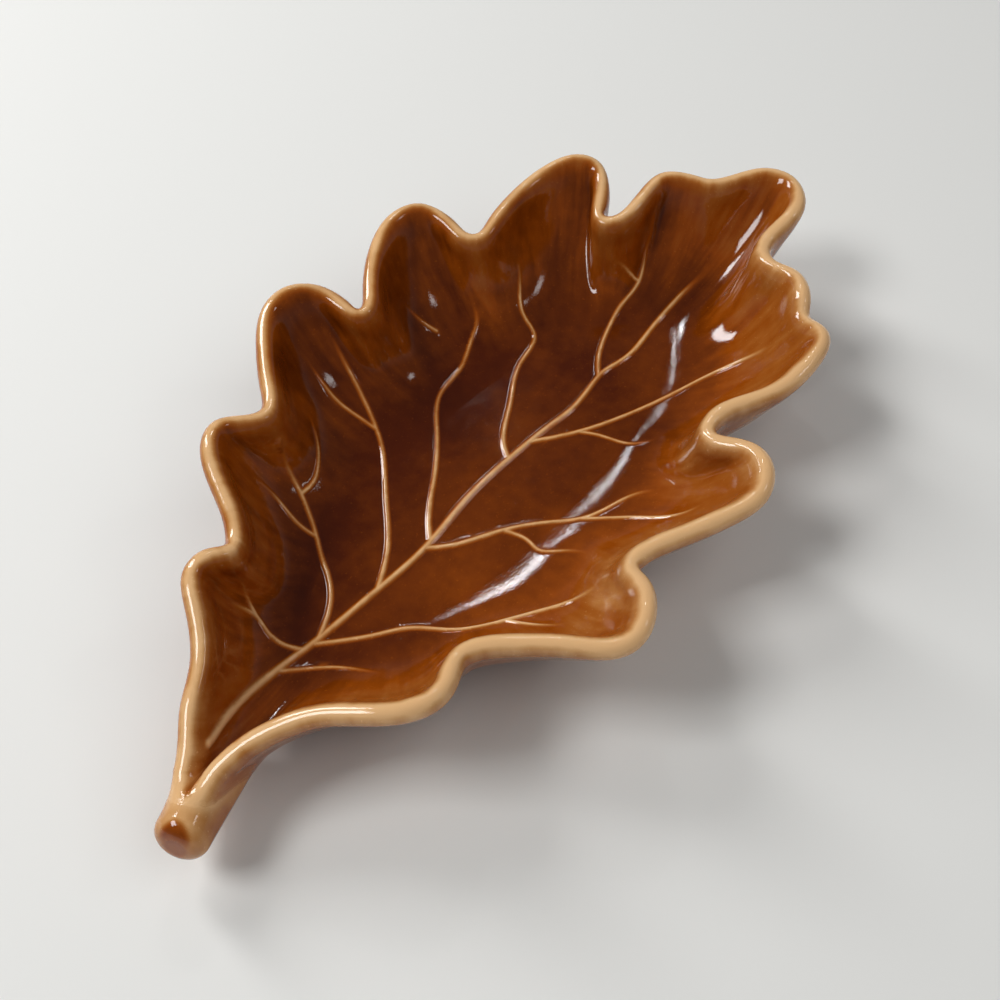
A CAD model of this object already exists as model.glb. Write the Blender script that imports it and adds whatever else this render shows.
"""The looks of a glazed oak-leaf ring dish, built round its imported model.

Everything is in metres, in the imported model's frame: +Z up, +X along the midrib to the leaf's tip,
and the origin in the middle of the foot ring, on the surface that the dish stands on.
"""

import logging
import math
from dataclasses import dataclass
from enum import Enum

import bpy
import numpy as np
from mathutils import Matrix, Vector
from mathutils.bvhtree import BVHTree
from mathutils.kdtree import KDTree


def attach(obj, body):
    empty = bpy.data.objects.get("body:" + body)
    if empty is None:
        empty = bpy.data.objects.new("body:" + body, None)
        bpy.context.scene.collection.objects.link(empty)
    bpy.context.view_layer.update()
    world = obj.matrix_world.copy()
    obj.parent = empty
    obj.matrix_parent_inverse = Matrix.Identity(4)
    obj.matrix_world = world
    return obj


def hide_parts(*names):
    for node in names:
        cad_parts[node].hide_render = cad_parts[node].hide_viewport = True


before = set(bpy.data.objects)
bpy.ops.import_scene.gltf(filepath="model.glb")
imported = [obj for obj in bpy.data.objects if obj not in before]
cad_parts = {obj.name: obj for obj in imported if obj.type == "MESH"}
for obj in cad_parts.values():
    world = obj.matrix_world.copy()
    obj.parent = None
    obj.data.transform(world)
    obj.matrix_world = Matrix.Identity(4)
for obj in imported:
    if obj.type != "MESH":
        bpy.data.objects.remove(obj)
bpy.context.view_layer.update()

log = logging.getLogger("ring_dish")

MM = 0.001

# The least that an edge's squared length counts as
TINY_AREA = 1e-12

# The rim's crest, once round from the stem's groove along the left edge to the tip and back,
# as shares of the leaf's half length, half width and rim height
RIM_CREST_SHARES = (
    (-0.978, -0.182, 0.56), (-0.962, -0.136, 0.57), (-0.936, -0.098, 0.60), (-0.905, -0.056, 0.64),
    (-0.862, 0.010, 0.71), (-0.796, 0.088, 0.76), (-0.744, 0.186, 0.84), (-0.715, 0.262, 0.90),
    (-0.685, 0.319, 0.93), (-0.645, 0.328, 0.93), (-0.607, 0.305, 0.88), (-0.568, 0.343, 0.85),
    (-0.533, 0.429, 0.88), (-0.500, 0.555, 0.93), (-0.459, 0.667, 0.98), (-0.407, 0.714, 0.96),
    (-0.355, 0.672, 0.91), (-0.305, 0.660, 0.88), (-0.248, 0.764, 0.89), (-0.179, 0.907, 0.93),
    (-0.111, 1.002, 0.97), (-0.049, 1.007, 1.00), (0.002, 0.940, 0.96), (0.013, 0.826, 0.92),
    (0.019, 0.757, 0.89), (0.052, 0.749, 0.89), (0.112, 0.833, 0.92), (0.201, 0.940, 0.96),
    (0.292, 0.988, 0.99), (0.353, 0.950, 0.98), (0.367, 0.834, 0.94), (0.362, 0.729, 0.90),
    (0.388, 0.675, 0.89), (0.452, 0.686, 0.92), (0.551, 0.712, 0.94), (0.656, 0.702, 0.97),
    (0.727, 0.640, 1.00), (0.743, 0.555, 0.97), (0.680, 0.440, 0.91), (0.625, 0.364, 0.87),
    (0.652, 0.298, 0.89), (0.764, 0.296, 0.95), (0.819, 0.274, 0.98), (0.851, 0.181, 0.97),
    (0.869, 0.110, 0.96), (0.925, 0.036, 0.97), (0.973, -0.040, 1.00), (0.987, -0.140, 1.00),
    (0.943, -0.236, 1.00), (0.880, -0.266, 0.98), (0.808, -0.252, 0.91), (0.752, -0.293, 0.90),
    (0.730, -0.374, 0.92), (0.723, -0.462, 0.95), (0.677, -0.552, 0.97), (0.636, -0.600, 0.91),
    (0.614, -0.664, 0.94), (0.587, -0.736, 0.98), (0.503, -0.764, 0.96), (0.411, -0.740, 0.93),
    (0.345, -0.676, 0.90), (0.282, -0.629, 0.88), (0.226, -0.660, 0.87), (0.223, -0.733, 0.90),
    (0.229, -0.824, 0.95), (0.201, -0.914, 1.00), (0.141, -0.964, 0.98), (0.068, -0.929, 0.95),
    (-0.017, -0.850, 0.91), (-0.095, -0.783, 0.88), (-0.143, -0.786, 0.87), (-0.168, -0.855, 0.92),
    (-0.211, -0.933, 0.99), (-0.267, -0.974, 0.99), (-0.316, -0.945, 0.97), (-0.361, -0.826, 0.95),
    (-0.405, -0.707, 0.92), (-0.455, -0.605, 0.90), (-0.500, -0.570, 0.89), (-0.561, -0.610, 0.93),
    (-0.608, -0.617, 0.96), (-0.652, -0.576, 0.96), (-0.693, -0.488, 0.93), (-0.732, -0.379, 0.87),
    (-0.775, -0.307, 0.82), (-0.836, -0.236, 0.73), (-0.884, -0.206, 0.66), (-0.925, -0.200, 0.61),
    (-0.962, -0.204, 0.57),
)

# How the wall leaves the floor and climbs to the rim: at each level, the share of its way outward,
# the share of its climb, and the share of each lobe and fold that has formed by then
WALL_SHARES = (
    (0.16, 0.02, 0.02), (0.36, 0.09, 0.12), (0.56, 0.22, 0.30),
    (0.72, 0.40, 0.50), (0.84, 0.61, 0.71), (0.93, 0.82, 0.89),
)

# The stem's places as shares of half length, half width and rim height, and how far its oval section
# reaches there, to the sides and up and down, as shares of the stem's own radius
STEM_SHARES = (
    (-0.780, -0.030, 0.185, 0.60, 0.30), (-0.840, -0.072, 0.225, 0.95, 0.55),
    (-0.895, -0.120, 0.280, 1.15, 0.78), (-0.945, -0.165, 0.335, 1.15, 0.95),
    (-0.990, -0.205, 0.385, 1.08, 1.04), (-1.044, -0.246, 0.428, 1.06, 1.06),
)

# The veins' plans, each from its root to its end, as shares of half length and half width:
# the midrib's, those of the side veins and those of the twigs on them
MIDRIB_SHARES = (
    (-0.884, -0.091), (-0.800, -0.030), (-0.709, 0.006), (-0.564, 0.000), (-0.403, -0.017),
    (-0.262, -0.024), (-0.104, 0.008), (0.039, 0.009), (0.172, -0.008), (0.251, -0.020),
    (0.334, -0.003), (0.385, 0.003), (0.446, -0.018), (0.563, -0.004), (0.709, -0.006),
    (0.763, -0.023),
)
SIDE_VEIN_SHARES = (
    (
        (-0.600, 0.006), (-0.624, 0.082), (-0.627, 0.142), (-0.625, 0.200), (-0.647, 0.230),
        (-0.669, 0.246),
    ),
    (
        (-0.564, 0.000), (-0.509, 0.047), (-0.470, 0.100), (-0.439, 0.170), (-0.416, 0.241),
        (-0.383, 0.330), (-0.354, 0.426), (-0.337, 0.502), (-0.326, 0.570), (-0.312, 0.605),
    ),
    (
        (-0.403, -0.017), (-0.352, 0.032), (-0.304, 0.092), (-0.218, 0.243), (-0.120, 0.426),
        (-0.062, 0.612), (-0.035, 0.755), (-0.023, 0.850),
    ),
    (
        (-0.240, -0.018), (-0.200, 0.052), (-0.111, 0.166), (0.002, 0.328), (0.079, 0.433),
        (0.168, 0.461), (0.260, 0.529), (0.295, 0.559), (0.319, 0.622),
    ),
    (
        (0.039, 0.009), (0.054, 0.051), (0.165, 0.188), (0.288, 0.303), (0.370, 0.356),
        (0.392, 0.454), (0.445, 0.549), (0.470, 0.600),
    ),
    (
        (0.364, 0.003), (0.402, 0.057), (0.485, 0.127), (0.580, 0.170), (0.661, 0.182),
        (0.700, 0.215), (0.733, 0.234),
    ),
    (
        (-0.580, 0.000), (-0.532, -0.076), (-0.477, -0.154), (-0.428, -0.220), (-0.374, -0.371),
        (-0.306, -0.479), (-0.246, -0.552), (-0.190, -0.631), (-0.143, -0.675),
    ),
    (
        (-0.262, -0.024), (-0.214, -0.101), (-0.137, -0.180), (-0.042, -0.311), (0.021, -0.412),
        (0.070, -0.450), (0.131, -0.507), (0.152, -0.565),
    ),
    (
        (0.109, -0.002), (0.199, -0.115), (0.269, -0.182), (0.354, -0.246), (0.431, -0.299),
        (0.557, -0.451), (0.585, -0.560),
    ),
)
TWIG_SHARES = (
    ((-0.626, 0.160), (-0.618, 0.219), (-0.608, 0.270)),
    ((-0.389, 0.313), (-0.398, 0.380), (-0.398, 0.442), (-0.400, 0.527), (-0.418, 0.585)),
    ((-0.340, 0.470), (-0.300, 0.480), (-0.262, 0.521), (-0.225, 0.592), (-0.196, 0.681)),
    ((-0.095, 0.505), (-0.101, 0.576), (-0.111, 0.688), (-0.108, 0.790), (-0.106, 0.850)),
    ((0.200, 0.640), (0.183, 0.710), (0.169, 0.780)),
    ((0.650, 0.182), (0.630, 0.230), (0.608, 0.273)),
    ((-0.670, 0.003), (-0.593, -0.123), (-0.560, -0.235), (-0.548, -0.290)),
    ((-0.306, -0.479), (-0.286, -0.585), (-0.251, -0.690)),
    ((0.005, -0.395), (0.069, -0.584), (0.100, -0.720), (0.135, -0.790)),
    ((-0.120, -0.205), (-0.110, -0.311), (-0.115, -0.352), (-0.085, -0.443), (-0.067, -0.535)),
    ((0.199, -0.115), (0.221, -0.195), (0.238, -0.297), (0.292, -0.398)),
)


def spline_weights(knots: np.ndarray, at: np.ndarray, closed: bool) -> np.ndarray:
    """The weight of each knot's value at each place along the cubic spline through them all.

    Args:
        knots: where the values lie; on a closed spline the last is where the first comes round.
        at: the places asked for.
        closed: whether the spline comes round to its start.

    Returns:
        One row of weights for each place.
    """
    spans = np.diff(knots)
    count = len(spans) if closed else len(knots)
    bend, rise = np.zeros((count, count)), np.zeros((count, count))
    for k in range(count):
        if not closed and k in (0, count - 1):
            bend[k, k] = 1
            continue
        before, after = (k - 1) % count, (k + 1) % count
        back, ahead = spans[k - 1], spans[k]
        bend[k, before] += back
        bend[k, k] += 2 * (back + ahead)
        bend[k, after] += ahead
        rise[k, before] += 6 / back
        rise[k, k] -= 6 / back + 6 / ahead
        rise[k, after] += 6 / ahead
    second = np.linalg.solve(bend, rise)
    here = np.clip(np.searchsorted(knots, at, side="right") - 1, 0, len(spans) - 1)
    there = (here + 1) % count
    span = spans[here]
    ahead = (at - knots[here]) / span
    back = 1 - ahead
    rows = np.arange(len(at))
    weights = ((back**3 - back) * span**2 / 6)[:, None] * second[here]
    weights += ((ahead**3 - ahead) * span**2 / 6)[:, None] * second[there]
    weights[rows, here] += back
    weights[rows, there] += ahead
    return weights


def unit(rows: np.ndarray) -> np.ndarray:
    """Each row at a length of one."""
    return rows / np.linalg.norm(rows, axis=-1, keepdims=True)


def lengths_along(line: np.ndarray) -> np.ndarray:
    """How far along a line each of its places lies."""
    return np.concatenate([[0], np.cumsum(np.linalg.norm(np.diff(line, axis=0), axis=1))])


def heading(before: np.ndarray, here: np.ndarray, after: np.ndarray) -> np.ndarray:
    """The direction of a line at each place, the nearer side of it counting more.

    Args:
        before: the places one step back.
        here: the places themselves.
        after: the places one step on.

    Returns:
        One direction a place, each of length one.
    """
    back, ahead = here - before, after - here
    back_length = np.linalg.norm(back, axis=-1, keepdims=True)
    ahead_length = np.linalg.norm(ahead, axis=-1, keepdims=True)
    return unit(back / back_length * ahead_length + ahead / ahead_length * back_length)


def nearest_on_line(places: np.ndarray, line: np.ndarray) -> tuple[np.ndarray, np.ndarray]:
    """How far each place lies from a line of short straight runs, and how far along that is.

    Args:
        places: one place a row.
        line: the line's points, one a row.

    Returns:
        The distances, and the shares of the line's runs that lie behind the nearest points.
    """
    start, run = line[:-1], np.diff(line, axis=0)
    to_place = places[:, None] - start[None]
    share = np.clip((to_place * run).sum(2) / (run**2).sum(1), 0, 1)
    gap = np.linalg.norm(to_place - share[..., None] * run, axis=2)
    nearest = gap.argmin(1)
    rows = np.arange(len(places))
    return gap[rows, nearest], (nearest + share[rows, nearest]) / len(run)


@dataclass(frozen=True)
class LeafForm:
    """The cast leaf: its sizes, and its skin as a formula of the way round and the way up.

    The glass lies deeper where the floor turns up into the wall. pool_shares gives how much of
    pool_depth lies on each level of the wall.
    """

    half_length: float = 75.0 * MM
    half_width: float = 42.0 * MM
    rim_height: float = 22.5 * MM
    clay_wall: float = 2.4 * MM
    rim_bead: float = 2.6 * MM
    glaze_film: float = 0.28 * MM
    floor_half_length: float = 42.0 * MM
    floor_half_width: float = 14.0 * MM
    foot_height: float = 2.1 * MM
    foot_half_length: float = 36.0 * MM
    foot_half_width: float = 12.0 * MM
    floor_ring_shares: tuple[float, ...] = (0.55, 0.8, 1.0)
    pool_depth: float = 0.22 * MM
    pool_shares: tuple[float, ...] = (0.9, 0.6, 0.35, 0.15, 0.0, 0.0)
    envelope_evenings: int = 8
    floor_evenings: int = 60
    bead_turns: tuple[float, ...] = (90.0, 45.0, 0.0, -45.0, -90.0)

    @property
    def floor_middle(self) -> float:
        """The height of the middle of the clay floor."""
        return self.foot_height + self.clay_wall / 2

    @property
    def half_skin(self) -> float:
        """From the middle of the clay wall to the outside of its glaze."""
        return self.clay_wall / 2 + self.glaze_film

    def floor_top(self, share: np.ndarray | float) -> np.ndarray | float:
        """The height of the glazed floor at a share of the way out to its edge."""
        return self.floor_middle + self.half_skin + self.pool_depth * share**2

    def oval(self, bearings: np.ndarray, share: float, height: float) -> np.ndarray:
        """Places on the floor's oval, or on a smaller one like it.

        Args:
            bearings: where they lie round the oval, in radians.
            share: the oval's size, where 1 is the floor's own.
            height: how high they all lie.

        Returns:
            One place a row.
        """
        along = self.floor_half_length * share * np.cos(bearings)
        across = self.floor_half_width * share * np.sin(bearings)
        return np.column_stack([along, across, np.full(len(bearings), height)])

    def evened(self, ring: np.ndarray, passes: int) -> np.ndarray:
        """The same closed line with its lobes smoothed away.

        Args:
            ring: the line's places.
            passes: how often each place goes half way to its neighbours' mean.

        Returns:
            The smoothed places.
        """
        for _ in range(passes):
            ring = (np.roll(ring, 1, 0) + 2 * ring + np.roll(ring, -1, 0)) / 4
        return ring

    def rim_ring(self) -> np.ndarray:
        """Works out the middle of the rim's bead.

        Returns:
            Its places, once round.
        """
        ring = np.array(RIM_CREST_SHARES) * (self.half_length, self.half_width, self.rim_height)
        ring[:, 2] -= self.rim_bead / 2
        return ring

    def floor_bearings(self) -> np.ndarray:
        """The bearing on the floor's oval that each place of the rim belongs to."""
        plan = self.evened(self.rim_ring(), self.floor_evenings)
        return np.arctan2(plan[:, 1] / self.half_width, plan[:, 0] / self.half_length)

    def round_knots(self) -> np.ndarray:
        """Works out how far round each place of the rim lies.

        Returns:
            The shares of the way round, and 1 last, where it comes round.
        """
        plan = self.rim_ring()[:, :2]
        steps = np.sqrt(np.linalg.norm(np.roll(plan, -1, 0) - plan, axis=1))
        return np.concatenate([[0], np.cumsum(steps)]) / steps.sum()

    def wall_rings(self) -> np.ndarray:
        """Works out the middle of the wall.

        Returns:
            Its rings, from the floor's edge to the rim.
        """
        rim = self.rim_ring()
        crest = rim * (1, 1, 0)
        envelope = self.evened(crest, self.envelope_evenings)
        floor = self.oval(self.floor_bearings(), 1, 0)
        rings = []
        for outward, upward, fluted in ((0, 0, 0), *WALL_SHARES):
            ring = floor + (envelope - floor) * outward + (crest - envelope) * fluted
            ring[:, 2] = self.floor_middle + (rim[:, 2] - self.floor_middle) * upward
            rings.append(ring)
        return np.array([*rings, rim])

    def skin_rings(self) -> np.ndarray:
        """Works out the glazed skin.

        Returns:
            Its rings, out of the hollow, over the bead, down the outside and in to the foot.
        """
        walls = self.wall_rings()
        above = np.concatenate([walls[1:], walls[-1:]])
        below = np.concatenate([walls[:1], walls[:-1]])
        around = heading(np.roll(walls, 1, 1), walls, np.roll(walls, -1, 1))
        climb = around.copy()
        climb[-1] = unit(walls[-1] - walls[-2])
        climb[1:-1] = heading(below[1:-1], walls[1:-1], above[1:-1])
        square = unit(np.cross(around[1:], climb[1:]))
        climb = np.cross(square, around[1:])
        walls = walls[1:]
        bearings = self.floor_bearings()
        bottom = self.floor_middle - self.half_skin
        levels = range(len(walls) - 1)
        rings = [self.oval(bearings, share, self.floor_top(share)) for share in self.floor_ring_shares]
        for k in levels:
            rings.append(walls[k] + square[k] * (self.half_skin + self.pool_shares[k] * self.pool_depth))
        for turn in np.radians(self.bead_turns):
            swing = climb[-1] * math.cos(turn) + square[-1] * math.sin(turn)
            rings.append(walls[-1] + swing * (self.rim_bead / 2 + self.glaze_film))
        rings += [walls[k] - square[k] * self.half_skin for k in reversed(levels)]
        rings.append(self.oval(bearings, 1, bottom))
        foot = self.oval(bearings, 1, bottom) * (
            self.foot_half_length / self.floor_half_length,
            self.foot_half_width / self.floor_half_width,
            1,
        )
        rings += [(rings[-1] + foot) / 2, foot]
        return np.array(rings)


def hold(piece: bpy.types.Object) -> None:
    """Selects a piece alone, and makes it the one that is worked on.

    Args:
        piece: the piece.
    """
    bpy.ops.object.select_all(action="DESELECT")
    piece.select_set(True)
    bpy.context.view_layer.objects.active = piece


def edit_open_edges() -> None:
    """Opens the piece that is held for editing, with its open edges alone selected."""
    bpy.ops.object.mode_set(mode="EDIT")
    bpy.ops.mesh.select_mode(type="EDGE")
    bpy.ops.mesh.select_all(action="DESELECT")
    bpy.ops.mesh.select_non_manifold(extend=False)


def rows_of(items: bpy.types.bpy_prop_collection, name: str) -> np.ndarray:
    """Reads a place or direction of each item of a mesh.

    Args:
        items: the mesh's vertices, normals or faces.
        name: what to read of each.

    Returns:
        One place or direction a row.
    """
    flat = np.empty(len(items) * 3)
    items.foreach_get(name, flat)
    return flat.reshape(-1, 3)


def places_of(piece: bpy.types.Object) -> np.ndarray:
    """The piece's vertices, one a row."""
    return rows_of(piece.data.vertices, "co")


def place_all(piece: bpy.types.Object, places: np.ndarray) -> None:
    """Moves every vertex of the piece to its row."""
    piece.data.vertices.foreach_set("co", places.ravel())
    piece.data.update()


def normals_of(piece: bpy.types.Object) -> np.ndarray:
    """The direction square to the piece's surface at each vertex."""
    return rows_of(piece.data.vertex_normals, "vector")


def edge_ends(piece: bpy.types.Object) -> tuple[np.ndarray, np.ndarray, np.ndarray]:
    """Finds which vertices the edges join.

    Args:
        piece: the piece whose edges are asked for.

    Returns:
        The vertices at one end, those at the other end, and how many edges meet at each vertex.
    """
    ends = np.empty(len(piece.data.edges) * 2, int)
    piece.data.edges.foreach_get("vertices", ends)
    one, other = ends.reshape(-1, 2).T
    return one, other, np.maximum(np.bincount(ends, minlength=len(piece.data.vertices)), 1)


def tree_of(piece: bpy.types.Object) -> BVHTree:
    """The piece's surface, for finding where lines meet it."""
    faces = [tuple(face.vertices) for face in piece.data.polygons]
    return BVHTree.FromPolygons([tuple(row) for row in places_of(piece)], faces)


def neighbours_mean(piece: bpy.types.Object, values: np.ndarray, passes: int) -> np.ndarray:
    """Evens values over the surface.

    Args:
        piece: the piece that they lie on.
        values: one value for each vertex.
        passes: how often each goes half way to the mean of its neighbours'.

    Returns:
        The evened values.
    """
    one, other, shares = edge_ends(piece)
    count = len(values)
    for _ in range(passes):
        total = np.bincount(one, values[other], count) + np.bincount(other, values[one], count)
        values = (values + total / shares) / 2
    return values


def convexity(piece: bpy.types.Object, limit: float) -> np.ndarray:
    """Works out how fast the surface turns.

    Args:
        piece: the piece whose surface it is.
        limit: the fastest turn that counts, in radians a metre.

    Returns:
        The turn at each vertex, in radians a metre: over 0 where the surface bulges.
    """
    one, other, shares = edge_ends(piece)
    places, normals = places_of(piece), normals_of(piece)
    span = places[other] - places[one]
    turn = ((normals[other] - normals[one]) * span).sum(1) / np.maximum((span**2).sum(1), TINY_AREA)
    turn = np.clip(turn, -limit, limit)
    count = len(places)
    return (np.bincount(one, turn, count) + np.bincount(other, turn, count)) / shares


def smooth_step(values: np.ndarray, low: float, high: float) -> np.ndarray:
    """0 below low, 1 above high, and an even slope between."""
    share = np.clip((values - low) / (high - low), 0, 1)
    return share * share * (3 - 2 * share)


def select_only(piece: bpy.types.Object, vertices: np.ndarray, faces: np.ndarray) -> None:
    """Holds the piece and selects some of its mesh, and nothing else.

    Args:
        piece: the piece.
        vertices: for each vertex, whether it is selected.
        faces: for each face, whether it is selected.
    """
    hold(piece)
    piece.data.vertices.foreach_set("select", vertices)
    piece.data.edges.foreach_set("select", np.zeros(len(piece.data.edges), bool))
    piece.data.polygons.foreach_set("select", faces)


@dataclass
class RoundBlank:
    """A flat round blank of rings and spokes, which is pressed into a hollow shape.

    Its middle is a disc of radius 1, filled by a grid that has spokes / grid_share faces along one
    side. Each ring outside that lies one ring_step further out.
    """

    name: str
    spokes: int
    rings: int
    ring_step: float = 0.02
    grid_share: int = 6

    def cut(self, bearings: np.ndarray) -> bpy.types.Object:
        """Makes the blank.

        Args:
            bearings: where the spokes lie round the disc, in order.

        Returns:
            The flat blank, with its middle filled by a grid.
        """
        bpy.ops.object.select_all(action="DESELECT")
        circles = []
        for radius in (1.0, 1.0 + self.rings * self.ring_step):
            bpy.ops.mesh.primitive_circle_add(vertices=self.spokes, radius=radius)
            circle = bpy.context.object
            edge = np.column_stack([np.cos(bearings), np.sin(bearings), np.zeros(self.spokes)])
            place_all(circle, edge * radius)
            circles.append(circle)
        hold(circles[0])
        bpy.ops.object.mode_set(mode="EDIT")
        bpy.ops.mesh.select_all(action="SELECT")
        bpy.ops.mesh.fill_grid(span=self.spokes // self.grid_share)
        bpy.ops.object.mode_set(mode="OBJECT")
        circles[1].select_set(True)
        bpy.ops.object.join()
        blank = bpy.context.object
        blank.name = blank.data.name = self.name
        edit_open_edges()
        bpy.ops.mesh.bridge_edge_loops(number_cuts=self.rings - 1, interpolation="LINEAR")
        bpy.ops.object.mode_set(mode="OBJECT")
        return blank

    def row_of(self, flat: np.ndarray) -> np.ndarray:
        """How many rings out each place of the flat blank lies, and 0 on the disc."""
        return np.maximum(np.hypot(flat[:, 0], flat[:, 1]) - 1, 0) / self.ring_step


class VeinKind(Enum):
    """The kinds of raised vein: each one's half width at the foot, and its height."""

    MIDRIB = (1.00 * MM, 0.44 * MM)
    SIDE = (0.72 * MM, 0.31 * MM)
    TWIG = (0.58 * MM, 0.23 * MM)


@dataclass
class Vein:
    """One raised vein, as a line on the floor and wall of the hollow.

    The clay beside it swells up to it, as far out as swell_reach of the swell's half widths.
    """

    kind: VeinKind
    line: np.ndarray
    end_width_share: float = 0.7
    end_height_share: float = 0.7
    fade_length: float = 7.0 * MM
    swell_half_width: float = 3.0 * MM
    swell_height: float = 0.20 * MM
    swell_reach: float = 2.5

    def gap_to(self, places: np.ndarray, spare: float = 0.0) -> tuple[np.ndarray, np.ndarray, np.ndarray]:
        """Finds the places near the vein.

        Args:
            places: the places asked about.
            spare: how far past the vein's own half width counts as near.

        Returns:
            Which places are near, how far each is from the vein's middle, and the share of the vein
            that lies behind it.
        """
        reach = self.kind.value[0] + spare
        low, high = self.line.min(0) - reach, self.line.max(0) + reach
        near = np.flatnonzero(((places > low) & (places < high)).all(1))
        if not len(near):
            return near, np.zeros(0), np.zeros(0)
        gap, along = nearest_on_line(places[near], self.line)
        return near, gap, along

    def height_at(self, places: np.ndarray) -> tuple[np.ndarray, np.ndarray]:
        """Works out how high the vein stands.

        Args:
            places: the places asked about.

        Returns:
            The height at each place, and that as a share of the vein's full height there.
        """
        half_width, height = self.kind.value
        heights, crests = np.zeros(len(places)), np.zeros(len(places))
        near, gap, along = self.gap_to(places)
        length = np.linalg.norm(np.diff(self.line, axis=0), axis=1).sum()
        fade = smooth_step((1 - along) * length, 0, self.fade_length)
        width = half_width * (1 - (1 - self.end_width_share) * along)
        profile = np.clip(1 - (gap / width) ** 2, 0, 1) ** 2 * fade
        crests[near] = profile
        heights[near] = profile * height * (1 - (1 - self.end_height_share) * along)
        return heights, crests

    def swell_at(self, places: np.ndarray) -> np.ndarray:
        """Works out how far the clay beside the vein swells.

        Args:
            places: the places asked about.

        Returns:
            The swell at each place.
        """
        swell = np.zeros(len(places))
        near, gap, _ = self.gap_to(places, self.swell_reach * self.swell_half_width)
        swell[near] = self.swell_height * np.exp(-((gap / self.swell_half_width) ** 2))
        return swell


@dataclass
class Surface:
    """What the finishes read at each vertex of a skin before its pieces are joined.

    turn is over 0 where the surface bulges. crest is 1 on a vein's top, rim on the rim's top, level
    up on the walls, and pool where the glaze gathered. The streaks' noise lies in the space of runs.
    """

    places: np.ndarray
    turn: np.ndarray
    crest: np.ndarray
    rim: np.ndarray
    level: np.ndarray
    pool: np.ndarray
    runs: np.ndarray

    def beside(self, other: "Surface") -> "Surface":
        """This surface with another one's vertices after its own."""
        names = self.__dataclass_fields__
        return Surface(*(np.concatenate([getattr(self, name), getattr(other, name)]) for name in names))

    def store_on(self, piece: bpy.types.Object, neighbours: int = 4, near: float = 0.02 * MM) -> None:
        """Gives each vertex of the piece a mean of the nearest vertices here, as named attributes.

        Args:
            piece: the piece that gets the attributes.
            neighbours: how many vertices count in each mean.
            near: the distance under which a nearer vertex hardly counts for more.
        """
        tree = KDTree(len(self.places))
        for k, place in enumerate(self.places):
            tree.insert(place, k)
        tree.balance()
        found = [tree.find_n(place, neighbours) for place in places_of(piece)]
        nearest = np.array([[hit[1] for hit in hits] for hits in found])
        shares = 1 / (np.array([[hit[2] for hit in hits] for hits in found]) + near) ** 2
        shares /= shares.sum(1, keepdims=True)
        for name in ("turn", "crest", "rim", "level", "pool"):
            layer = piece.data.attributes.new(name, "FLOAT", "POINT")
            values = (getattr(self, name)[nearest] * shares).sum(1)
            layer.data.foreach_set("value", values.astype(np.float32))
        layer = piece.data.attributes.new("runs", "FLOAT_VECTOR", "POINT")
        values = (self.runs[nearest] * shares[..., None]).sum(1)
        layer.data.foreach_set("vector", values.astype(np.float32).ravel())


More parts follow.
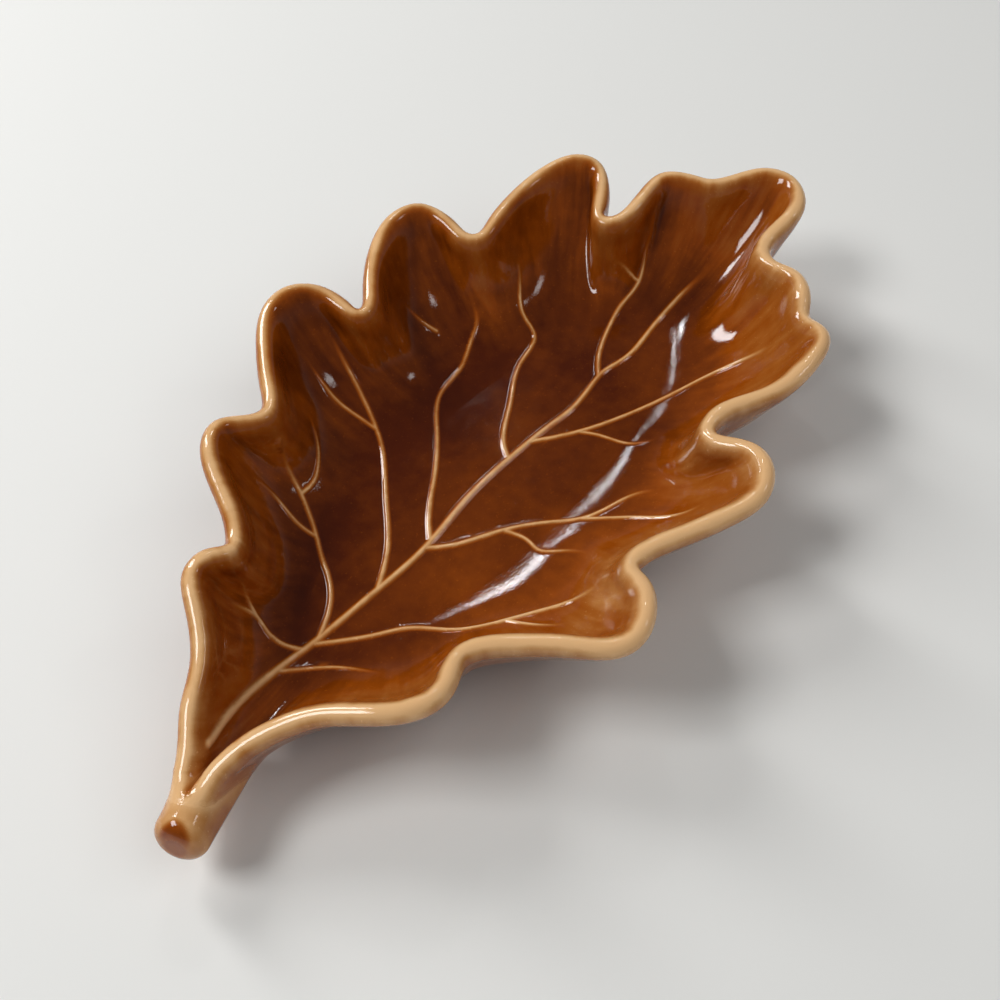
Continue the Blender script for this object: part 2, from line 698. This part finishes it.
@dataclass
class Stem:
    """The solid stem, from its blunt end back into the wall under the groove.

    rows says how many of the blank's rings lie on its end, its rounded corner and its shaft. The
    glaze gathered on the end in a pool of pool_radius, whose middle lies pool_rise up from the end's
    middle. It is thinner along the top, by the first of ridge_shares near the end, which grows to
    the second over ridge_rise.
    """

    form: LeafForm
    radius: float = 3.4 * MM
    spokes: int = 72
    rows: tuple[int, ...] = (6, 12, 38)
    tip_round: float = 2.0 * MM
    pool_radius: float = 3.2 * MM
    pool_rise: float = 2.9 * MM
    ridge_shares: tuple[float, float] = (0.3, 1.3)
    ridge_rise: tuple[float, float] = (1.5 * MM, 5.5 * MM)
    shade_level: float = 0.8
    turn_limit: float = 400.0
    turn_evenings: int = 3
    runs_waves: float = 100.0
    way_step: float = 0.1 * MM

    def build(self) -> tuple[bpy.types.Object, Surface]:
        """Presses a round blank into the stem.

        Returns:
            The closed stem, and what the finishes read on it.
        """
        blank = RoundBlank("stem", self.spokes, sum(self.rows))
        stem = blank.cut(np.arange(self.spokes) * 2 * math.pi / self.spokes)
        flat = places_of(stem)
        row = blank.row_of(flat)
        bearing = np.arctan2(flat[:, 1], flat[:, 0])
        out, along = self.profile(flat, row)
        places = self.pressed(row, bearing, out, along)
        place_all(stem, places)
        edit_open_edges()
        bpy.ops.mesh.edge_face_add()
        bpy.ops.mesh.select_all(action="SELECT")
        bpy.ops.mesh.normals_make_consistent(inside=False)
        bpy.ops.object.mode_set(mode="OBJECT")
        none = np.zeros(len(places))
        turn = neighbours_mean(stem, convexity(stem, self.turn_limit), self.turn_evenings)
        off = np.hypot(out * np.cos(bearing), out * np.sin(bearing) - self.pool_rise)
        pool = 1 - smooth_step(off + along, self.pool_radius / 2, self.pool_radius)
        pool *= smooth_step(out, self.pool_rise / 4, self.pool_rise)
        end, join = self.ridge_shares
        ridge = end + (join - end) * smooth_step(along, *self.ridge_rise)
        ridge *= np.clip(np.sin(bearing), 0, 1) ** 2 * (row > self.rows[0])
        level, runs = none + self.shade_level, places * self.runs_waves
        return stem, Surface(places, turn, none, ridge, level, pool, runs)

    def line(self) -> tuple[np.ndarray, np.ndarray, np.ndarray]:
        """Works out the line that the stem follows.

        Returns:
            The stem's middle from its end inwards, how far its glaze lies from that to the sides and
            up, and how far along each place lies.
        """
        shares = np.array(STEM_SHARES)[::-1]
        middle = shares[:, :3] * (self.form.half_length, self.form.half_width, self.form.rim_height)
        middle[0] += unit(middle[0] - middle[1]) * self.form.glaze_film
        return middle, shares[:, 3:] * self.radius + self.form.glaze_film, lengths_along(middle)

    def profile(self, flat: np.ndarray, row: np.ndarray) -> tuple[np.ndarray, np.ndarray]:
        """Works out how far out of the stem's middle, and how far along it, the blank goes.

        Args:
            flat: the blank's places.
            row: how many rings out each lies.

        Returns:
            The distances out, which hold up to the end of the rounded corner, and those along.
        """
        _, reach, knots = self.line()
        face_end, round_end, _ = np.cumsum(self.rows)
        corner = self.tip_round + self.form.glaze_film
        swing = np.clip((row - face_end) / (round_end - face_end), 0, 1) * math.pi / 2
        disc = (np.minimum(np.hypot(flat[:, 0], flat[:, 1]), 1) + np.minimum(row / face_end, 1)) / 2
        out = disc * (reach[0].mean() - corner) + corner * np.sin(swing)
        back = np.clip((row - round_end) / self.rows[2], 0, 1)
        return out, corner * (1 - np.cos(swing)) + back * (knots[-1] - corner)

    def pressed(
        self, row: np.ndarray, bearing: np.ndarray, out: np.ndarray, along: np.ndarray
    ) -> np.ndarray:
        """Presses the blank into the stem.

        Args:
            row: how many rings out each place of the blank lies.
            bearing: which way it lies from the blank's middle, in radians.
            out: how far out of the stem's middle it goes.
            along: how far along the stem it goes.

        Returns:
            The places on the stem.
        """
        middle, reach, knots = self.line()
        weights = spline_weights(knots, along, False)
        shaft = (row >= sum(self.rows[:2]))[:, None]
        wide_tall = np.where(shaft, weights @ reach, out[:, None])
        beside = np.clip(along[:, None] + (-self.way_step, self.way_step), 0, knots[-1]).ravel()
        steps = (spline_weights(knots, beside, False) @ middle).reshape(-1, 2, 3)
        way = unit(steps[:, 1] - steps[:, 0])
        side = unit(np.cross(way, (0, 0, 1)))
        top = np.cross(side, way)
        places = weights @ middle
        places += side * (np.cos(bearing) * wide_tall[:, 0])[:, None]
        return places + top * (np.sin(bearing) * wide_tall[:, 1])[:, None]


@dataclass
class GlazedLeaf:
    """The glass-covered leaf with its veins and stem, as one closed skin.

    rows says how many of the blank's rings lie on the inner wall, the rim's bead, the outer wall and
    the underside. swell_from is where the clay starts to swell beside the veins and where it does so
    fully, as shares of the way out from the floor's middle to its edge. The join is softened where
    leaf and stem both lie within blend. Its closeness runs from 0 there to 1 on the join itself, where
    it is lifted by blend_lift of blend, and it is smoothed where that is over blend_core.
    """

    form: LeafForm
    spokes: int = 480
    rows: tuple[int, ...] = (36, 12, 20, 4)
    round_places: int = 4001
    vein_run: float = 0.45 * MM
    vein_least_places: int = 3
    vein_spare: float = 0.12 * MM
    vein_cuts: int = 2
    blend: float = 3.0 * MM
    blend_lift: float = 0.25
    blend_core: float = 0.3
    blend_passes: int = 12
    cover_reach: float = 1.0 * MM
    cover_passes: int = 3
    swell_from: tuple[float, float] = (1.0, 1.25)
    swell_power: float = 4.0
    meniscus: float = 0.2 * MM
    turn_limit: float = 1200.0
    turn_evenings: int = 6
    rim_turn: float = 15.0
    rim_half_width: float = 0.85 * MM
    runs_round: float = 20.0
    runs_climb: float = 95.0

    def __post_init__(self) -> None:
        """Works out the skin's rings, and which way round and up the blank's rows lie on them."""
        self.skin = self.form.skin_rings()
        self.knots = self.form.round_knots()
        steps = np.linalg.norm(np.diff(self.skin, axis=0), axis=2).mean(1)
        self.climbs = np.concatenate([[0], np.cumsum(steps)])
        walls = len(WALL_SHARES)
        floor = len(self.form.floor_ring_shares) - 1
        ends = np.cumsum([floor, walls + 1, len(self.form.bead_turns) - 1, walls + 1, 2])
        self.row_ends = np.concatenate([[0], np.cumsum(self.rows)])
        self.row_climbs = self.climbs[ends]
        self.rounds = np.linspace(0, 1, self.round_places)
        edge = spline_weights(self.knots, self.rounds, True) @ self.skin[floor]
        sizes = (self.form.floor_half_length, self.form.floor_half_width)
        self.turned = np.unwrap(np.arctan2(edge[:, 1] / sizes[1], edge[:, 0] / sizes[0]))

    def bearing_of(self, rounds: np.ndarray) -> np.ndarray:
        """The bearing on the floor at each way round."""
        return np.interp(rounds, self.rounds, self.turned)

    def round_of(self, bearings: np.ndarray) -> np.ndarray:
        """Finds the way round at each bearing on the floor.

        Args:
            bearings: the bearings, in radians.

        Returns:
            The shares of the way round.
        """
        first, last = self.turned[-1], self.turned[0]
        wrapped = first + (bearings - first) % (2 * math.pi)
        return np.interp(np.minimum(wrapped, last), self.turned[::-1], self.rounds[::-1])

    def pressed(self, flat: np.ndarray, blank: RoundBlank) -> np.ndarray:
        """Presses the flat blank into the glazed skin.

        Args:
            flat: the blank's places.
            blank: the blank.

        Returns:
            The places on the skin.
        """
        radius = np.hypot(flat[:, 0], flat[:, 1])
        places = flat * (self.form.floor_half_length, self.form.floor_half_width, 0)
        places[:, 2] = self.form.floor_top(radius)
        wall = np.flatnonzero(radius > 1)
        climb = np.interp(blank.row_of(flat[wall]), self.row_ends, self.row_climbs)
        rounds = self.round_of(np.arctan2(flat[wall, 1], flat[wall, 0]))
        across = spline_weights(self.climbs, climb, False)
        around = spline_weights(self.knots, rounds, True)
        places[wall] = np.einsum("nk,nj,kjc->nc", across, around, self.skin, optimize=True)
        return places

    def vein_line(self, shares: tuple[tuple[float, float], ...], surface: BVHTree) -> np.ndarray:
        """Smooths a vein's line and lets it fall onto the hollow.

        Args:
            shares: the vein's plan.
            surface: the hollow's surface.

        Returns:
            The places along the vein, from its root to its end.
        """
        plan = np.array(shares) * (self.form.half_length, self.form.half_width)
        knots = lengths_along(plan)
        count = max(self.vein_least_places, round(knots[-1] / self.vein_run))
        at = np.linspace(0, knots[-1], count)
        line = spline_weights(knots, at, False) @ plan
        above = 2 * self.form.rim_height
        hits = [surface.ray_cast(Vector((x, y, above)), Vector((0, 0, -1)))[0] for x, y in line]
        return np.array([tuple(hit) for hit in hits if hit is not None])

    def veins(self, surface: BVHTree) -> list[Vein]:
        """Lays every vein on the hollow.

        Args:
            surface: the hollow's surface.

        Returns:
            The veins, the midrib first.
        """
        kinds = (
            (VeinKind.MIDRIB, (MIDRIB_SHARES,)),
            (VeinKind.SIDE, SIDE_VEIN_SHARES),
            (VeinKind.TWIG, TWIG_SHARES),
        )
        return [Vein(kind, self.vein_line(shares, surface)) for kind, table in kinds for shares in table]

    def build(self) -> bpy.types.Object:
        """Cuts, refines and presses the blank, raises the veins, and joins the stem.

        Returns:
            The finished skin, with its glaze attributes.
        """
        blank = RoundBlank("glazed_leaf", self.spokes, int(self.row_ends[-1]))
        leaf = blank.cut(self.bearing_of((np.arange(self.spokes) + 0.5) / self.spokes))
        flat = places_of(leaf)
        place_all(leaf, self.pressed(flat, blank))
        veins = self.veins(tree_of(leaf))
        self.refine(leaf, flat, veins)
        flat = places_of(leaf)
        place_all(leaf, self.pressed(flat, blank))
        if normals_of(leaf)[places_of(leaf)[:, 2].argmax(), 2] < 0:
            leaf.data.flip_normals()
        surface = self.surface(leaf, flat, blank, veins)
        heights = np.max([vein.height_at(surface.places)[0] for vein in veins], axis=0)
        swells = [vein.swell_at(surface.places) ** self.swell_power for vein in veins]
        swell = np.sum(swells, axis=0) ** (1 / self.swell_power)
        heights += swell * smooth_step(np.hypot(flat[:, 0], flat[:, 1]), *self.swell_from)
        place_all(leaf, surface.places + normals_of(leaf) * heights[:, None])
        self.close_foot(leaf)
        stem, stem_surface = Stem(self.form).build()
        self.join(leaf, stem)
        self.cover(leaf, tree_of(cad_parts["clay_body"]))
        surface.beside(stem_surface).store_on(leaf)
        triangles = sum(len(face.vertices) - 2 for face in leaf.data.polygons)
        log.info("glazed leaf: %d vertices, %d triangles", len(leaf.data.vertices), triangles)
        return leaf

    def refine(self, leaf: bpy.types.Object, flat: np.ndarray, veins: list[Vein]) -> None:
        """Lays the blank flat again, and cuts the faces under the veins finer.

        Args:
            leaf: the blank, pressed into the skin.
            flat: its places before it was pressed.
            veins: the veins on the skin.
        """
        centres = rows_of(leaf.data.polygons, "center")
        close = np.zeros(len(centres), bool)
        for vein in veins:
            near, gap, _ = vein.gap_to(centres, self.vein_spare)
            close[near] |= gap < vein.kind.value[0] + self.vein_spare
        place_all(leaf, flat)
        select_only(leaf, np.zeros(len(flat), bool), close)
        bpy.ops.object.mode_set(mode="EDIT")
        bpy.ops.mesh.select_mode(type="FACE")
        bpy.ops.mesh.subdivide(number_cuts=self.vein_cuts, ngon=False, quadcorner="INNERVERT")
        bpy.ops.object.mode_set(mode="OBJECT")

    def surface(
        self, leaf: bpy.types.Object, flat: np.ndarray, blank: RoundBlank, veins: list[Vein]
    ) -> Surface:
        """Works out what the finishes read on the leaf.

        Args:
            leaf: the pressed leaf, before its veins are raised.
            flat: its places on the flat blank.
            blank: the blank.
            veins: the veins on it.

        Returns:
            Its folds, its veins, its rim and the way that the glaze ran.
        """
        places = places_of(leaf)
        turn = neighbours_mean(leaf, convexity(leaf, self.turn_limit), self.turn_evenings)
        crest = np.max([vein.height_at(places)[1] for vein in veins], axis=0)
        row = blank.row_of(flat)
        climb = np.interp(row, self.row_ends, self.row_climbs)
        bead = np.mean(self.row_climbs[1:3])
        radius = self.form.rim_bead / 2 + self.form.glaze_film
        off = climb - bead + math.radians(self.rim_turn) * radius
        rim = np.exp(-((off / self.rim_half_width) ** 2))
        level = np.interp(climb, self.row_climbs[:4], (0, 1, 1, 0))
        bearing = np.arctan2(flat[:, 1], flat[:, 0])
        around = np.column_stack([np.cos(bearing), np.sin(bearing)]) * self.runs_round
        runs = np.column_stack([around, climb * self.runs_climb])
        return Surface(places, turn, crest, rim, level, np.zeros(len(places)), runs)

    def close_foot(self, leaf: bpy.types.Object) -> None:
        """Turns the glaze's edge up against the foot, and closes the skin inside the clay.

        Args:
            leaf: the skin, which is open at the foot.
        """
        edit_open_edges()
        bpy.ops.mesh.extrude_region_move(TRANSFORM_OT_translate={"value": (0, 0, self.meniscus)})
        bpy.ops.mesh.edge_face_add()
        bpy.ops.mesh.poke()
        bpy.ops.object.mode_set(mode="OBJECT")

    def join(self, leaf: bpy.types.Object, stem: bpy.types.Object) -> None:
        """Joins the stem to the leaf, and runs a soft hollow along the join.

        Args:
            leaf: the closed leaf, which becomes both.
            stem: the closed stem, which is used up.
        """
        surfaces = (tree_of(leaf), tree_of(stem))
        union = leaf.modifiers.new("stem", "BOOLEAN")
        union.operation = "UNION"
        union.solver = "EXACT"
        union.object = stem
        hold(leaf)
        bpy.ops.object.modifier_apply(modifier=union.name)
        bpy.data.objects.remove(stem)
        places, normals = places_of(leaf), normals_of(leaf)
        low = STEM_SHARES[0][0] * self.form.half_length + self.blend
        gap = np.full(len(places), self.blend)
        for k in np.flatnonzero(places[:, 0] < low):
            found = [surface.find_nearest(Vector(places[k]))[3] for surface in surfaces]
            gap[k] = min(max(found), self.blend)
        closeness = 1 - gap / self.blend
        place_all(leaf, places + normals * (self.blend * self.blend_lift * closeness**2)[:, None])
        select_only(leaf, closeness > self.blend_core, np.zeros(len(leaf.data.polygons), bool))
        bpy.ops.object.mode_set(mode="EDIT")
        bpy.ops.mesh.select_mode(type="VERT")
        bpy.ops.mesh.vertices_smooth(factor=0.5, repeat=self.blend_passes)
        bpy.ops.object.mode_set(mode="OBJECT")
        log.info("stem joined: %d places blended", int((closeness > 0).sum()))

    def cover(self, leaf: bpy.types.Object, clay: BVHTree) -> None:
        """Lifts the skin off the clay wherever a vein's end would stand through it.

        Args:
            leaf: the skin, with its stem.
            clay: the clay's surface.
        """
        places, normals = places_of(leaf), normals_of(leaf)
        lift = np.zeros(len(places))
        for k in np.flatnonzero(places[:, 2] > self.form.floor_middle):
            way = Vector(normals[k])
            _, out, _, gap = clay.ray_cast(Vector(places[k]), way, self.cover_reach)
            if out is not None and out.dot(way) > 0:
                lift[k] = gap + self.form.glaze_film
        wide = neighbours_mean(leaf, lift, self.cover_passes)
        place_all(leaf, places + normals * np.maximum(lift, wide)[:, None])
        log.info("%d places lifted off the clay", int((lift > 0).sum()))


# A ramp's stops: each one's place, then its colour on screen or as light
Tones = tuple[tuple[float, tuple[int, int, int]], ...]
Stop = tuple[float, tuple[float, float, float, float]]


class Colour:
    """Colours written as they look, turned to the light values that a shader takes."""

    @staticmethod
    def light(value: int) -> float:
        """The light of a 0 to 255 value on screen, by the usual curve."""
        share = value / 255
        return share / 12.92 if share <= 0.04045 else ((share + 0.055) / 1.055) ** 2.4

    @classmethod
    def of(cls, red: int, green: int, blue: int) -> tuple[float, float, float, float]:
        """A colour from its 0 to 255 values on screen."""
        return cls.light(red), cls.light(green), cls.light(blue), 1.0

    @classmethod
    def stops(cls, tones: Tones) -> list[Stop]:
        """A ramp's stops, each with its colour as a shader takes it."""
        return [(place, cls.of(*tone)) for place, tone in tones]


@dataclass(frozen=True)
class Flow:
    """A value that flows between shader nodes. Arithmetic on it adds Math nodes."""

    bench: "Bench"
    socket: bpy.types.NodeSocket

    def math(self, operation: str, first: "Flow | float", second: "Flow | float") -> "Flow":
        """One Math node's result."""
        return self.bench.add("ShaderNodeMath", {"operation": operation}, {0: first, 1: second})

    def __add__(self, other: "Flow | float") -> "Flow":
        """The sum."""
        return self.math("ADD", self, other)

    __radd__ = __add__

    def __sub__(self, other: "Flow | float") -> "Flow":
        """The difference."""
        return self.math("SUBTRACT", self, other)

    def __rsub__(self, other: "Flow | float") -> "Flow":
        """The difference, taken from a number."""
        return self.math("SUBTRACT", other, self)

    def __mul__(self, other: "Flow | float") -> "Flow":
        """The product."""
        return self.math("MULTIPLY", self, other)

    __rmul__ = __mul__

    def above(self, low: float, high: float) -> "Flow":
        """0 below low, 1 above high, and a soft slope between."""
        settings = {"interpolation_type": "SMOOTHSTEP"}
        return self.bench.add("ShaderNodeMapRange", settings, {0: self, 1: low, 2: high})


class Bench:
    """One finish or world being made, and the one method that adds nodes to its tree."""

    def __init__(self, name: str, shelf: bpy.types.bpy_prop_collection = bpy.data.materials) -> None:
        """Starts a finish or a world, with an empty tree.

        Args:
            name: what it is called.
            shelf: where it is kept, which is that of the worlds for a world.
        """
        self.made = shelf.new(name)
        self.made.use_nodes = True
        self.tree = self.made.node_tree
        self.tree.nodes.clear()

    def add(
        self, kind: str, settings: dict[str, object], inputs: dict[int | str, object], output: int | str = 0
    ) -> Flow:
        """Adds a node.

        Args:
            kind: the node's type.
            settings: its properties, and a ramp's stops under "stops".
            inputs: values or flows for its sockets, by name or place.
            output: the socket that flows on.

        Returns:
            The flow out of the node.
        """
        node = self.tree.nodes.new(kind)
        for name, value in settings.items():
            if name == "stops":
                stops = node.color_ramp.elements
                while len(stops) < len(value):
                    stops.new(1.0)
                for stop, (place, colour) in zip(stops, value):
                    stop.position = place
                    stop.color = colour
            else:
                setattr(node, name, value)
        for key, value in inputs.items():
            if isinstance(value, Flow):
                self.tree.links.new(value.socket, node.inputs[key])
            else:
                node.inputs[key].default_value = value
        return Flow(self, node.outputs[output] if node.outputs else None)

    def attribute(self, name: str, output: str = "Fac") -> Flow:
        """One of the piece's own attributes."""
        return self.add("ShaderNodeAttribute", {"attribute_name": name}, {}, output)

    def across(self) -> Flow:
        """How far to the leaf's left side each place lies, in metres."""
        place = self.add("ShaderNodeTexCoord", {}, {}, "Object")
        return self.add("ShaderNodeSeparateXYZ", {}, {0: place}, "Y")

    def noise(self, scale: float, detail: float, place: Flow | None = None) -> Flow:
        """Adds noise.

        Args:
            scale: its waves to one unit of the place.
            detail: how many finer noises lie on it.
            place: the space that it lies in, or the dish's own if none is given.

        Returns:
            The noise, which lies about 0.5.
        """
        place = place or self.add("ShaderNodeTexCoord", {}, {}, "Object")
        inputs = {"Vector": place, "Scale": scale, "Detail": detail}
        return self.add("ShaderNodeTexNoise", {}, inputs, "Fac")

    def ramp(self, along: Flow, stops: list[Stop]) -> Flow:
        """A colour for each value, from a ramp's stops."""
        return self.add("ShaderNodeValToRGB", {"stops": stops}, {0: along})

    def bump(self, height: Flow, strength: float, distance: float, normal: Flow | None = None) -> Flow:
        """Adds a bump.

        Args:
            height: the height that it follows.
            strength: the share of the height that counts.
            distance: how high a height of 1 stands.
            normal: the normal that it is added to, if any.

        Returns:
            The new normal.
        """
        inputs = {"Strength": strength, "Distance": distance, "Height": height}
        if normal is not None:
            inputs["Normal"] = normal
        return self.add("ShaderNodeBump", {}, inputs)

    def finish(self, inputs: dict[str, object]) -> bpy.types.Material:
        """Ends the finish in one shader.

        Args:
            inputs: values or flows for the shader's sockets, by name.

        Returns:
            The material.
        """
        shader = self.add("ShaderNodeBsdfPrincipled", {}, inputs)
        self.add("ShaderNodeOutputMaterial", {}, {"Surface": shader})
        return self.made


@dataclass(frozen=True)
class CaramelGlaze:
    """Glossy glass over buff clay: dark where it lies thick, tan where it breaks over edges.

    Its thickness runs from 0 to 1 along the ramp of tones. The shares say how much of that each
    thing adds or takes. Each noise is its waves and its detail, and each bump its strength and depth.
    """

    gloss: float = 0.04
    gloss_spread: float = 0.04
    refraction: float = 1.5
    cloud: tuple[float, float] = (60.0, 3.0)
    mottle: tuple[float, float] = (420.0, 4.0)
    fleck: tuple[float, float] = (2600.0, 3.0)
    runs: tuple[float, float] = (1.0, 3.0)
    swell: tuple[float, float] = (330.0, 2.0)
    swell_bump: tuple[float, float] = (0.3, 0.06 * MM)
    fleck_bump: tuple[float, float] = (0.8, 0.016 * MM)
    runs_bump: tuple[float, float] = (0.5, 0.06 * MM)
    floor_thickness: float = 0.76
    wall_levels: tuple[float, float] = (0.05, 0.7)
    fleck_levels: tuple[float, float] = (0.64, 0.72)
    wall_share: float = 0.24
    turn_share: float = 0.0006
    rim_share: float = 0.42
    crest_share: float = 0.66
    crest_mottle_share: float = 0.5
    pool_share: float = 0.42
    left_share: float = 4.0
    cloud_share: float = 0.34
    mottle_share: float = 0.14
    runs_share: float = 0.45
    fleck_share: float = 0.10
    tones: Tones = (
        (0.00, (226, 180, 128)),
        (0.14, (210, 160, 106)),
        (0.28, (184, 124, 66)),
        (0.42, (160, 90, 32)),
        (0.56, (144, 68, 8)),
        (0.70, (108, 47, 4)),
        (0.84, (74, 25, 2)),
        (1.00, (50, 10, 2)),
    )

    def material(self) -> bpy.types.Material:
        """Mixes the glaze.

        Returns:
            The glaze's material.
        """
        bench = Bench("caramel_glaze")
        cloud = bench.noise(*self.cloud)
        mottle = bench.noise(*self.mottle)
        fleck = bench.noise(*self.fleck)
        runs = bench.noise(*self.runs, bench.attribute("runs", "Vector"))
        wall = bench.attribute("level").above(*self.wall_levels)
        thick = self.floor_thickness - wall * self.wall_share
        thick = thick - bench.attribute("turn") * self.turn_share
        thick = thick - bench.attribute("rim") * self.rim_share
        crest = self.crest_share + (mottle - 0.5) * self.crest_mottle_share
        thick = thick - bench.attribute("crest") * crest
        thick = thick + bench.attribute("pool") * self.pool_share
        thick = thick + bench.across() * self.left_share
        thick = thick + (cloud - 0.5) * self.cloud_share + (mottle - 0.5) * self.mottle_share
        thick = thick + (runs - 0.5) * wall * self.runs_share
        thick = thick - fleck.above(*self.fleck_levels) * self.fleck_share
        normal = bench.bump(bench.noise(*self.swell), *self.swell_bump)
        normal = bench.bump(fleck, *self.fleck_bump, normal)
        normal = bench.bump(runs * wall, *self.runs_bump, normal)
        rough = self.gloss + (fleck - 0.5) * self.gloss_spread
        colour = bench.ramp(thick, Colour.stops(self.tones))
        inputs = {"Base Color": colour, "Roughness": rough, "Normal": normal, "IOR": self.refraction}
        return bench.finish(inputs)


@dataclass(frozen=True)
class BareClay:
    """Dry fired clay on the foot, matt and gritty."""

    grit: tuple[float, float] = (2200.0, 4.0)
    wear: tuple[float, float] = (300.0, 3.0)
    grit_bump: tuple[float, float] = (0.5, 0.05 * MM)
    roughness: float = 0.85
    roughness_spread: float = 0.2
    tones: Tones = ((0.3, (196, 170, 134)), (0.55, (222, 202, 170)), (0.8, (232, 216, 190)))

    def material(self) -> bpy.types.Material:
        """Mixes the clay.

        Returns:
            The clay's material.
        """
        bench = Bench("bare_clay")
        grit = bench.noise(*self.grit)
        colour = bench.ramp(bench.noise(*self.wear), Colour.stops(self.tones))
        normal = bench.bump(grit, *self.grit_bump)
        rough = self.roughness + (grit - 0.5) * self.roughness_spread
        return bench.finish({"Base Color": colour, "Roughness": rough, "Normal": normal})


@dataclass(frozen=True)
class PaleTable:
    """The plain pale floor."""

    tone: tuple[int, int, int] = (232, 232, 229)
    roughness: float = 0.7

    def material(self) -> bpy.types.Material:
        """Mixes the floor."""
        inputs = {"Base Color": Colour.of(*self.tone), "Roughness": self.roughness}
        return Bench("pale_table").finish(inputs)


@dataclass(frozen=True)
class Lamp:
    """A soft lamp: which way and how high it stands, in degrees, its size, and how bright it looks.

    A lamp that isn't mirrored only lightens the shadows, and gives no highlight on the glaze.
    """

    name: str
    azimuth: float
    elevation: float
    width: float
    height: float
    radiance: float
    mirrored: bool = True
    distance: float = 0.8

    def light(self) -> None:
        """Sets the lamp up, facing the dish."""
        data = bpy.data.lights.new(self.name, "AREA")
        data.shape = "RECTANGLE"
        data.size, data.size_y = self.width, self.height
        data.energy = self.radiance * math.pi * self.width * self.height
        lamp = bpy.data.objects.new(self.name, data)
        bpy.context.scene.collection.objects.link(lamp)
        turn, rise = math.radians(self.azimuth), math.radians(self.elevation)
        way = Vector((math.cos(turn) * math.cos(rise), math.sin(turn) * math.cos(rise), math.sin(rise)))
        lamp.location = way * self.distance
        lamp.rotation_euler = way.to_track_quat("Z", "Y").to_euler()
        lamp.visible_glossy = self.mirrored


@dataclass
class Studio:
    """The pale floor, the soft lamps and the camera."""

    floor_size: float = 6.0
    world_tones: tuple[tuple[float, float], ...] = ((0.0, 0.22), (0.15, 0.18), (0.40, 0.08))
    camera_turn: float = -50.4
    camera_rise: float = 52.0
    camera_distance: float = 0.216
    aim: tuple[float, float, float] = (-1.74 * MM, -1.57 * MM, 0.0)
    lens: float = 46.8
    sensor: float = 36.0
    lamps: tuple[Lamp, ...] = (
        Lamp("window_left", 142.0, 52.0, 0.31, 0.24, 11.6),
        Lamp("window_back", 88.0, 38.0, 0.15, 0.40, 15.0),
        Lamp("window_far", 48.0, 46.6, 0.036, 0.04, 40.0),
        Lamp("window_edge", 40.5, 45.0, 0.016, 0.04, 40.0),
        Lamp("window_right", -43.0, 46.0, 0.10, 0.10, 5.0),
        Lamp("sky_front", -80.0, 55.0, 2.6, 2.6, 1.2, mirrored=False, distance=3.0),
    )

    def build(self) -> None:
        """Lays the floor, lights it, and sets the camera up."""
        self.lay_floor()
        self.light()
        self.aim_camera()
        bpy.context.scene.view_settings.view_transform = "Standard"

    def lay_floor(self) -> None:
        """Lays the pale floor under the dish."""
        bpy.ops.object.select_all(action="DESELECT")
        bpy.ops.mesh.primitive_plane_add(size=self.floor_size)
        floor = bpy.context.object
        floor.name = floor.data.name = "floor"
        floor.data.materials.append(PaleTable().material())

    def light(self) -> None:
        """Gives the room its tones, pale at the horizon, and sets up the lamps."""
        bench = Bench("studio", bpy.data.worlds)
        way = bench.add("ShaderNodeTexCoord", {}, {}, "Generated")
        rise = bench.add("ShaderNodeSeparateXYZ", {}, {0: way}, "Z")
        tones = [(place, (tone, tone, tone, 1)) for place, tone in self.world_tones]
        light = bench.add("ShaderNodeBackground", {}, {"Color": bench.ramp(rise, tones)})
        bench.add("ShaderNodeOutputWorld", {}, {"Surface": light})
        bpy.context.scene.world = bench.made
        for lamp in self.lamps:
            lamp.light()

    def aim_camera(self) -> None:
        """Sets the camera up where the dish looks as it does in its photo."""
        data = bpy.data.cameras.new("camera")
        data.lens, data.sensor_width = self.lens, self.sensor
        camera = bpy.data.objects.new("camera", data)
        bpy.context.scene.collection.objects.link(camera)
        turn, rise = math.radians(self.camera_turn), math.radians(self.camera_rise)
        back = Vector((math.sin(turn) * math.cos(rise), -math.cos(turn) * math.cos(rise), math.sin(rise)))
        camera.location = Vector(self.aim) + back * self.camera_distance
        camera.rotation_euler = back.to_track_quat("Z", "Y").to_euler()
        bpy.context.scene.camera = camera


def main() -> None:
    """Builds the dish's looks and the studio, and reports each piece."""
    logging.basicConfig(level=logging.INFO, format="%(name)s: %(message)s")
    Studio().build()
    glaze = CaramelGlaze().material()
    leaf = GlazedLeaf(LeafForm()).build()
    hold(leaf)
    bpy.ops.object.shade_smooth()
    leaf.data.materials.clear()
    leaf.data.materials.append(glaze)
    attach(leaf, "root")
    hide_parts("glaze_coat")
    for name, material in (("clay_body", BareClay().material()), ("recess_glaze", glaze)):
        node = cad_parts[name]
        for slot in node.material_slots:
            slot.material = material
        log.info("%s dressed", name)


if __name__ == "__main__":
    main()
